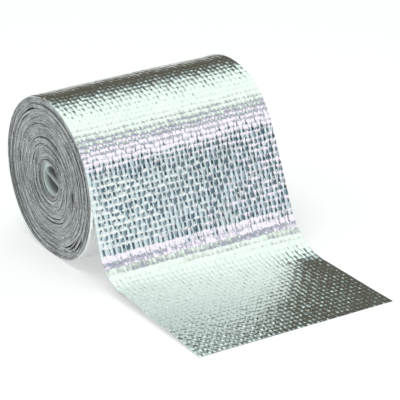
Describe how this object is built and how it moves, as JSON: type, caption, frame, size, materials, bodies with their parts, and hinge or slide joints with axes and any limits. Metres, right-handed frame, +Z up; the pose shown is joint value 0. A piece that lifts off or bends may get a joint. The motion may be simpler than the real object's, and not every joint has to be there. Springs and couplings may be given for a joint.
{
  "type": "aluminium heat shield tape",
  "caption": "Roll of foil-faced woven cloth tape on its side, its outer end pulled off the front and laid flat on the floor.",
  "frame": {"origin": "on the floor, below the middle of the roll and its free end", "axes": "+X along the roll's axis, +Y from the free end to the roll, +Z up"},
  "size_m": [0.05, 0.0856, 0.0385],
  "materials": {
    "foil": "bright aluminium foil, embossed with the plain weave of the cloth below it, lightly scuffed",
    "cloth_edge": "cut edges of the foil and its woven cloth, turn on turn, mid grey and matt"
  },
  "bodies": {
    "root": {"heat_shield_tape": "foil"}
  },
  "joints": []
}
